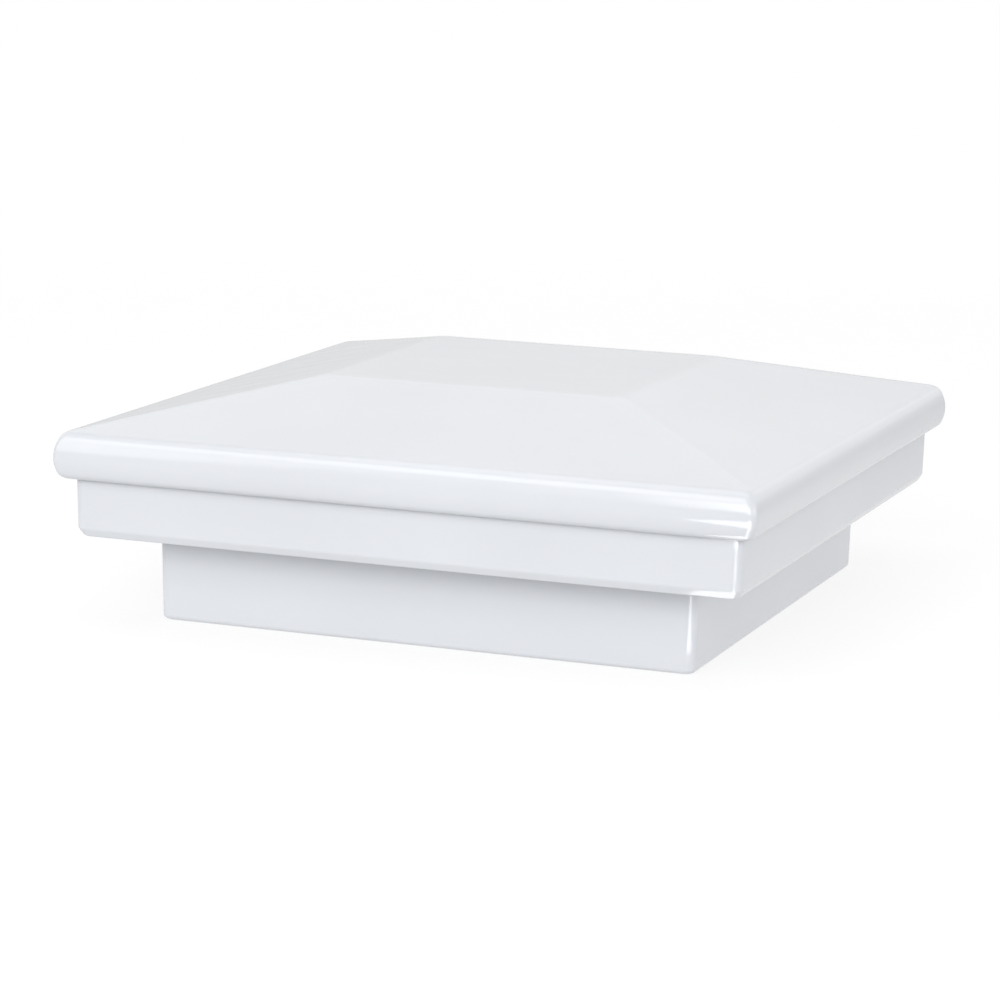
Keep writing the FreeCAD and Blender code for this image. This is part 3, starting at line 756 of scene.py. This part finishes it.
class Paint:
    """A node material being mixed. Each call adds one node and returns its output."""

    def __init__(self, name):
        self.material = bpy.data.materials.new(name)
        self.material.use_nodes = True
        tree = self.material.node_tree
        tree.nodes.clear()
        self.nodes = tree.nodes
        self.links = tree.links
        self.shader = self.nodes.new("ShaderNodeBsdfPrincipled")
        output = self.nodes.new("ShaderNodeOutputMaterial")
        self.links.new(self.shader.outputs["BSDF"], output.inputs["Surface"])
        self.place = self.nodes.new("ShaderNodeTexCoord").outputs["Object"]

    def put(self, socket, value):
        """Feed a socket from another node's output, or set it to a plain value."""
        if isinstance(value, bpy.types.NodeSocket):
            self.links.new(value, socket)
        else:
            socket.default_value = value

    def set(self, **inputs):
        """Set inputs of the shader, with spaces written as underscores."""
        for name, value in inputs.items():
            self.put(self.shader.inputs[name.replace("_", " ")], value)

    def grain(self, size, detail=2.0, stretch=(1, 1, 1)):
        """Soft noise whose lumps are about this size, longer where stretch is large."""
        mapping = self.nodes.new("ShaderNodeMapping")
        self.put(mapping.inputs["Vector"], self.place)
        mapping.inputs["Scale"].default_value = [1 / (size * share) for share in stretch]
        texture = self.nodes.new("ShaderNodeTexNoise")
        texture.inputs["Scale"].default_value = 1
        texture.inputs["Detail"].default_value = detail
        self.put(texture.inputs["Vector"], mapping.outputs["Vector"])
        return texture.outputs["Fac"]

    def cells(self, size):
        """Round cells of about this size: the distance from each cell's middle."""
        texture = self.nodes.new("ShaderNodeTexVoronoi")
        texture.inputs["Scale"].default_value = 1 / size
        self.put(texture.inputs["Vector"], self.place)
        return texture.outputs["Distance"]

    def span(self, source, start, end, low, high):
        """Map the part of a source between start and end onto low to high."""
        node = self.nodes.new("ShaderNodeMapRange")
        self.put(node.inputs["Value"], source)
        for name, value in (("From Min", start), ("From Max", end), ("To Min", low),
                            ("To Max", high)):
            self.put(node.inputs[name], value)
        return node.outputs["Result"]

    def combine(self, operation, first, second):
        """Join two values by one step of arithmetic."""
        node = self.nodes.new("ShaderNodeMath")
        node.operation = operation
        self.put(node.inputs[0], first)
        self.put(node.inputs[1], second)
        return node.outputs["Value"]

    def mix(self, share, first, second):
        """Blend two colours."""
        node = self.nodes.new("ShaderNodeMix")
        node.data_type = "RGBA"
        self.put(node.inputs["Factor"], share)
        for name, colour in (("A", first), ("B", second)):
            socket = next(item for item in node.inputs
                          if item.name == name and item.type == "RGBA")
            self.put(socket, colour)
        return next(item for item in node.outputs if item.type == "RGBA")

    def relief(self, height, depth, under=None):
        """Raise the surface by a height map times depth, over an earlier relief if given."""
        node = self.nodes.new("ShaderNodeBump")
        node.inputs["Strength"].default_value = 1
        node.inputs["Distance"].default_value = depth
        self.put(node.inputs["Height"], height)
        if under is not None:
            self.put(node.inputs["Normal"], under)
        return node.outputs["Normal"]

    def edges(self, radius):
        """1 on sharp and rounded edges, fading to 0 on the flat faces beside them."""
        bevel = self.nodes.new("ShaderNodeBevel")
        bevel.samples = 4
        bevel.inputs["Radius"].default_value = radius
        geometry = self.nodes.new("ShaderNodeNewGeometry")
        node = self.nodes.new("ShaderNodeVectorMath")
        node.operation = "DOT_PRODUCT"
        self.put(node.inputs[0], bevel.outputs["Normal"])
        self.put(node.inputs[1], geometry.outputs["Normal"])
        return self.span(node.outputs["Value"], 0.995, 0.93, 0.0, 1.0)


def shade(colour, factor):
    """A colour made darker or lighter, with full opacity."""
    return tuple(min(1.0, channel * factor) for channel in colour[:3]) + (1.0,)


def moulded_white(name, white):
    """Glossy white moulded plastic: faint tone drift, orange peel, handling marks, worn edges."""
    paint = Paint(name)
    drift = paint.grain(45 * MM, detail=2)
    marks = paint.grain(7 * MM, detail=3, stretch=(1.8, 1, 1))
    dust = paint.grain(0.55 * MM, detail=1)
    worn = paint.combine("MULTIPLY", paint.edges(0.6 * MM), paint.span(marks, 0.4, 0.6, 0.2, 1))
    tone = paint.mix(paint.span(drift, 0.35, 0.65, 0, 1), shade(white, 0.985), shade(white, 1.01))
    tone = paint.mix(paint.span(dust, 0.70, 0.78, 0, 0.10), tone, shade(white, 0.75))
    tone = paint.mix(paint.combine("MULTIPLY", worn, 0.15), tone, shade(white, 1.06))
    polish = paint.span(marks, 0.35, 0.7, 0.115, 0.14)
    polish = paint.combine("ADD", polish, paint.combine("MULTIPLY", worn, 0.08))
    peel = paint.relief(paint.grain(1.6 * MM, detail=1), 0.00025 * MM)
    peel = paint.relief(paint.grain(0.3 * MM, detail=1), 0.00015 * MM, peel)
    paint.set(Base_Color=tone, Roughness=polish, Normal=peel, IOR=1.49)
    paint.set(Subsurface_Weight=0.08, Subsurface_Scale=1.2 * MM)
    paint.shader.inputs["Subsurface Radius"].default_value = (1.0, 0.9, 0.8)
    return paint.material


def gasket_foam():
    """Dark closed-cell foam: cut cells, matt skin, paler where it has been squeezed."""
    paint = Paint("gasket_foam")
    cells = paint.cells(0.55 * MM)
    fine = paint.grain(0.2 * MM, detail=3)
    squeezed = paint.grain(9 * MM, detail=3)
    tone = paint.mix(paint.span(cells, 0.1, 0.7, 0, 1), (0.035, 0.036, 0.04, 1),
                     (0.10, 0.10, 0.108, 1))
    tone = paint.mix(paint.span(squeezed, 0.45, 0.7, 0, 0.4), tone, (0.15, 0.15, 0.155, 1))
    relief = paint.relief(cells, 0.12 * MM)
    relief = paint.relief(fine, 0.03 * MM, relief)
    paint.set(Base_Color=tone, Roughness=paint.span(fine, 0.3, 0.7, 0.78, 0.95), Normal=relief)
    return paint.material


def pad_rubber():
    """Black moulded rubber with a matt spark texture and a bloom of talc."""
    paint = Paint("pad_rubber")
    spark = paint.grain(0.25 * MM, detail=3)
    talc = paint.grain(5 * MM, detail=4)
    tone = paint.mix(paint.span(talc, 0.5, 0.72, 0, 0.5), (0.022, 0.022, 0.024, 1),
                     (0.12, 0.12, 0.12, 1))
    paint.set(Base_Color=tone, Roughness=paint.span(talc, 0.3, 0.7, 0.55, 0.8),
              Normal=paint.relief(spark, 0.02 * MM))
    return paint.material


def brushed_steel(name, tone, along, roughness):
    """Stainless steel with fine drawn lines, tarnish drift and bright rubbed edges."""
    paint = Paint(name)
    lines = paint.grain(0.06 * MM, detail=2, stretch=along)
    drift = paint.grain(3 * MM, detail=3)
    rubbed = paint.edges(0.15 * MM)
    colour = paint.mix(paint.span(lines, 0.3, 0.7, 0, 1), shade(tone, 0.86), shade(tone, 1.06))
    colour = paint.mix(paint.span(drift, 0.4, 0.75, 0, 0.35), colour, shade(tone, 0.7))
    colour = paint.mix(paint.combine("MULTIPLY", rubbed, 0.5), colour, shade(tone, 1.2))
    polish = paint.span(lines, 0.3, 0.7, roughness - 0.06, roughness + 0.08)
    paint.set(Base_Color=colour, Metallic=1.0, Roughness=polish,
              Normal=paint.relief(lines, 0.001 * MM))
    return paint.material


def show(piece, material, slot, body, *nodes):
    """Give a piece its finish, let it ride on its body and stand for its CAD nodes."""
    piece.data.materials.clear()
    piece.data.materials.append(material)
    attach(piece, body)
    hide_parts(*nodes)


def make_pieces():
    """Make every piece and tie it to its finish, its body and the CAD part it stands for."""
    cool_white = (0.563, 0.578, 0.605)
    crown_white = moulded_white("crown_white", cool_white)
    band_white = moulded_white("band_white", shade(cool_white, 0.995))
    collar_white = moulded_white("collar_white", shade(cool_white, 0.99))
    foam = gasket_foam()
    rubber = pad_rubber()
    screw_steel = brushed_steel("screw_steel", (0.60, 0.61, 0.62), (1, 1, 0.6), 0.30)
    clip_steel = brushed_steel("clip_steel", (0.64, 0.65, 0.66), (1, 40, 1), 0.24)

    crown = make_crown()
    smooth(crown)
    show(crown, crown_white, "crown_white", "crown", "crown")
    band = make_middle_band()
    smooth(band)
    show(band, band_white, "band_white", "base", "middle_band")
    collar = make_post_collar()
    smooth(collar)
    show(collar, collar_white, "collar_white", "base", "post_collar")
    gasket = make_gasket()
    smooth(gasket, 60)
    show(gasket, foam, "gasket_foam", "crown", "crown_gasket")
    for side in SIDES:
        clip = make_clip(side)
        smooth(clip)
        show(clip, clip_steel, "clip_steel", "base", f"crown_clip_{side}")
        pad = make_grip_pad(side)
        smooth(pad)
        show(pad, rubber, "pad_rubber", "base", f"grip_pad_{side}")
    pattern = make_screw_mesh()
    smooth(pattern, 50)
    for number, (label, spot) in enumerate(screw_places()):
        screw = pattern.copy()
        screw.name = f"collar_screw_{label}"
        bpy.context.scene.collection.objects.link(screw)
        screw.matrix_world = Matrix.Translation(spot) @ turned(37 * number)
        show(screw, screw_steel, "screw_steel", "base", "collar_screws")
    bpy.data.objects.remove(pattern)


# --------------------------------------------------------------- the studio

CAMERA_AZIMUTH = math.radians(20.34)
CAMERA_ELEVATION = math.radians(11.32)
CAMERA_ROLL = math.radians(1.19)
CAMERA_DISTANCE = 880.65 * MM
CAMERA_LENS = 127.7
# The camera stands back from a point on the cap's axis at this height, and aims a little to
# its left and above it, so that the cap is a little low and to the right in the picture.
CAMERA_CENTRE = -8.565 * MM
AIM_LEFT = 5.34 * MM
AIM_ABOVE = 7.70 * MM

# Glows are brightnesses, where white paper is 1. The walls behind the cap have these between
# the horizon, at 0, and straight overhead, at 1. The floor has one at the cap, one around it
# and one far away.
WALL_GLOW = ((0.0, 0.79), (0.2, 0.95), (0.35, 1.18), (0.6, 1.2), (0.8, 0.5), (1.0, 0.0))
FRONT_WALL_GLOW = 0.37
FOOT_GLOW = 0.73
FLOOR_GLOW = 0.64
FAR_GLOW = 0.79


def direction(azimuth, elevation):
    """The way out from the cap. Azimuth 0 is the front, -Y, and a quarter turn the right, +X."""
    return Vector((math.sin(azimuth) * math.cos(elevation),
                   -math.cos(azimuth) * math.cos(elevation), math.sin(elevation)))


def place_camera():
    """Look at the cap from the front right and a little above, with a slight lean."""
    back = direction(CAMERA_AZIMUTH, CAMERA_ELEVATION)
    right = Vector((math.cos(CAMERA_AZIMUTH), math.sin(CAMERA_AZIMUTH), 0))
    up = back.cross(right)
    lean = Matrix.Rotation(CAMERA_ROLL, 3, back)
    right, up = lean @ right, lean @ up
    centre = Vector((0, 0, CAMERA_CENTRE))
    spot = centre + back * CAMERA_DISTANCE
    aim = centre - AIM_LEFT * right + AIM_ABOVE * up
    back = (spot - aim).normalized()
    right = up.cross(back).normalized()
    up = back.cross(right)
    data = bpy.data.cameras.new("camera")
    data.sensor_width = 36
    data.lens = CAMERA_LENS
    data.clip_start = 0.01
    data.clip_end = 50
    camera = bpy.data.objects.new("camera", data)
    rotation = Matrix((right, up, back)).transposed().to_4x4()
    camera.matrix_world = Matrix.Translation(spot) @ rotation
    bpy.context.scene.collection.objects.link(camera)
    bpy.context.scene.camera = camera


def softbox(name, azimuth, elevation, distance, width, height, glow):
    """A soft rectangular light that faces the cap and that the camera doesn't see."""
    data = bpy.data.lights.new(name, "AREA")
    data.shape = "RECTANGLE"
    data.size = width
    data.size_y = height
    data.energy = glow * math.pi * width * height
    light = bpy.data.objects.new(name, data)
    way = direction(math.radians(azimuth), math.radians(elevation))
    light.matrix_world = (Matrix.Translation(way * distance)
                          @ way.to_track_quat("Z", "Y").to_matrix().to_4x4())
    light.visible_camera = False
    bpy.context.scene.collection.objects.link(light)
    return light


def light_studio():
    """Large soft lights, strongest in front and weakest behind on the right, in a white room."""
    softbox("key", azimuth=-26, elevation=36.5, distance=1.3, width=1.0, height=0.24, glow=3.35)
    softbox("front", azimuth=10, elevation=20, distance=1.6, width=1.4, height=0.6, glow=5.7)
    softbox("front_left", azimuth=-50, elevation=20, distance=1.6, width=1.4, height=0.6, glow=2.1)
    softbox("right", azimuth=85, elevation=14, distance=1.6, width=1.4, height=0.7, glow=2.2)
    softbox("right_back", azimuth=158, elevation=16, distance=1.6, width=0.7, height=0.7, glow=0.34)
    softbox("top", azimuth=0, elevation=88, distance=1.3, width=1.3, height=1.3, glow=1.3)
    small_card("rim_card", x=87, y=-120, rise=29, turn=28, width=40, length=40, glow=6.0)
    small_card("collar_card", x=92, y=-118, rise=0.5, turn=26, width=26, length=84, glow=5.5)
    small_card("band_card", x=140, y=-187, rise=0.5, turn=29, width=60, length=56, glow=5.0)
    light_walls()


def light_walls():
    """Walls that the camera sees as plain white, and that glow most halfway up behind the cap."""
    world = bpy.data.worlds.new("studio")
    world.use_nodes = True
    nodes = world.node_tree.nodes
    links = world.node_tree.links
    way = nodes.new("ShaderNodeSeparateXYZ")
    links.new(nodes.new("ShaderNodeTexCoord").outputs["Generated"], way.inputs["Vector"])
    behind = nodes.new("ShaderNodeMapRange")
    behind.interpolation_type = "SMOOTHSTEP"
    behind.inputs["From Max"].default_value = 0.5
    links.new(way.outputs["Y"], behind.inputs["Value"])
    rise = nodes.new("ShaderNodeValToRGB")
    links.new(way.outputs["Z"], rise.inputs["Fac"])
    places = rise.color_ramp.elements
    for place, (height, glow) in zip(places, WALL_GLOW):
        place.position = height
        place.color = (glow, glow, glow, 1)
    for height, glow in WALL_GLOW[len(places):]:
        place = places.new(height)
        place.color = (glow, glow, glow, 1)
    walls = nodes.new("ShaderNodeMix")
    walls.data_type = "FLOAT"
    links.new(behind.outputs["Result"], walls.inputs["Factor"])
    walls.inputs["A"].default_value = FRONT_WALL_GLOW
    links.new(rise.outputs["Color"], walls.inputs["B"])
    strength = nodes.new("ShaderNodeMix")
    strength.data_type = "FLOAT"
    links.new(nodes.new("ShaderNodeLightPath").outputs["Is Camera Ray"], strength.inputs["Factor"])
    links.new(walls.outputs["Result"], strength.inputs["A"])
    strength.inputs["B"].default_value = 1.0
    background = nodes["Background"]
    background.inputs["Color"].default_value = (1, 1, 1, 1)
    links.new(strength.outputs["Result"], background.inputs["Strength"])
    bpy.context.scene.world = world
    bpy.context.scene.view_settings.view_transform = "Standard"


def small_card(name, x, y, rise, turn, width, length, glow):
    """A small level light that faces up, off the front corner, and that only reflections show.

    Its lengths are in millimetres, and it stands its rise above the floor.
    """
    card = softbox(name, azimuth=0, elevation=90, distance=0, width=width * MM,
                   height=length * MM, glow=glow)
    place = Matrix.Translation((x * MM, y * MM, collar_low.z + rise * MM))
    card.matrix_world = place @ turned(turn) @ Matrix.Rotation(math.pi, 4, "X")
    card.visible_diffuse = False


def lay_floor():
    """A wide pale floor at the foot of the collar, which fades into the white walls."""
    bm = bmesh.new()
    bmesh.ops.create_circle(bm, cap_ends=True, radius=20, segments=64)
    bmesh.ops.translate(bm, vec=(0, 0, collar_low.z), verts=bm.verts)
    floor = finish_mesh(bm, "floor")
    paint = Paint("floor_paper")
    tone = paint.mix(paint.grain(200 * MM), (0.93, 0.93, 0.93, 1), (0.95, 0.95, 0.95, 1))
    away = paint.nodes.new("ShaderNodeVectorMath")
    away.operation = "LENGTH"
    paint.put(away.inputs[0], paint.place)
    distance = away.outputs["Value"]
    fade = paint.span(distance, 200 * MM, 700 * MM, 0.8, 1)
    near = paint.span(distance, 130 * MM, 260 * MM, FOOT_GLOW, FLOOR_GLOW)
    far = paint.span(distance, 300 * MM, 2000 * MM, FLOOR_GLOW, FAR_GLOW)
    # the camera sees the fade to white, while the cap is lit by the other two and mirrors them
    seen = paint.nodes.new("ShaderNodeLightPath").outputs["Is Camera Ray"]
    glow = paint.span(seen, 0, 1, paint.combine("MAXIMUM", near, far), fade)
    paint.set(Base_Color=paint.mix(fade, tone, (0, 0, 0, 1)), Roughness=0.9,
              Specular_IOR_Level=0.0, Emission_Color=(1, 1, 1, 1), Emission_Strength=glow)
    floor.data.materials.append(paint.material)


make_pieces()
lay_floor()
light_studio()
place_camera()
